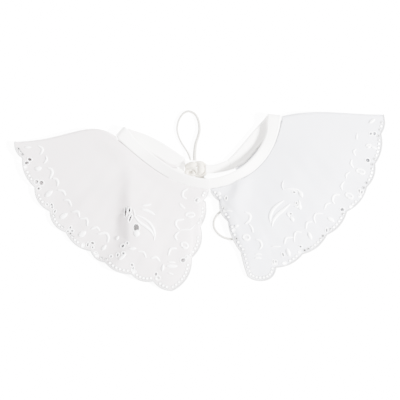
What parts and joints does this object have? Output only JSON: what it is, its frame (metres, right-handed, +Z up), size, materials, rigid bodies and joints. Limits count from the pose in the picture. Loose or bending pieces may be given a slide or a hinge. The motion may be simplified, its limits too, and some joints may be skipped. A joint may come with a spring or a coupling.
{
  "type": "detachable_collar",
  "caption": "White cotton lawn cape collar with scalloped eyelet-embroidered wings, a narrow bound neck band and a knotted cord tie, lying folded flat",
  "frame": {"origin": "middle of the collar's outline on the table it lies on, the loops of cord left out", "axes": "+X from the left wing to the right wing, +Y from the front of the collar to its back, +Z up"},
  "size_m": [0.3702, 0.1807, 0.0121],
  "materials": {
    "white_lawn_left": "matte",
    "white_lawn_right": "matte",
    "band_cotton": "matte",
    "cream_cord": "matte"
  },
  "bodies": {
    "root": {"neck_band": "band_cotton", "wing_left": "white_lawn_left", "wing_right": "white_lawn_right", "tie_left": "cream_cord", "tie_right": "cream_cord", "tie_knot": "cream_cord", "tie_loop_upper": "cream_cord", "tie_loop_lower": "cream_cord"}
  },
  "joints": []
}
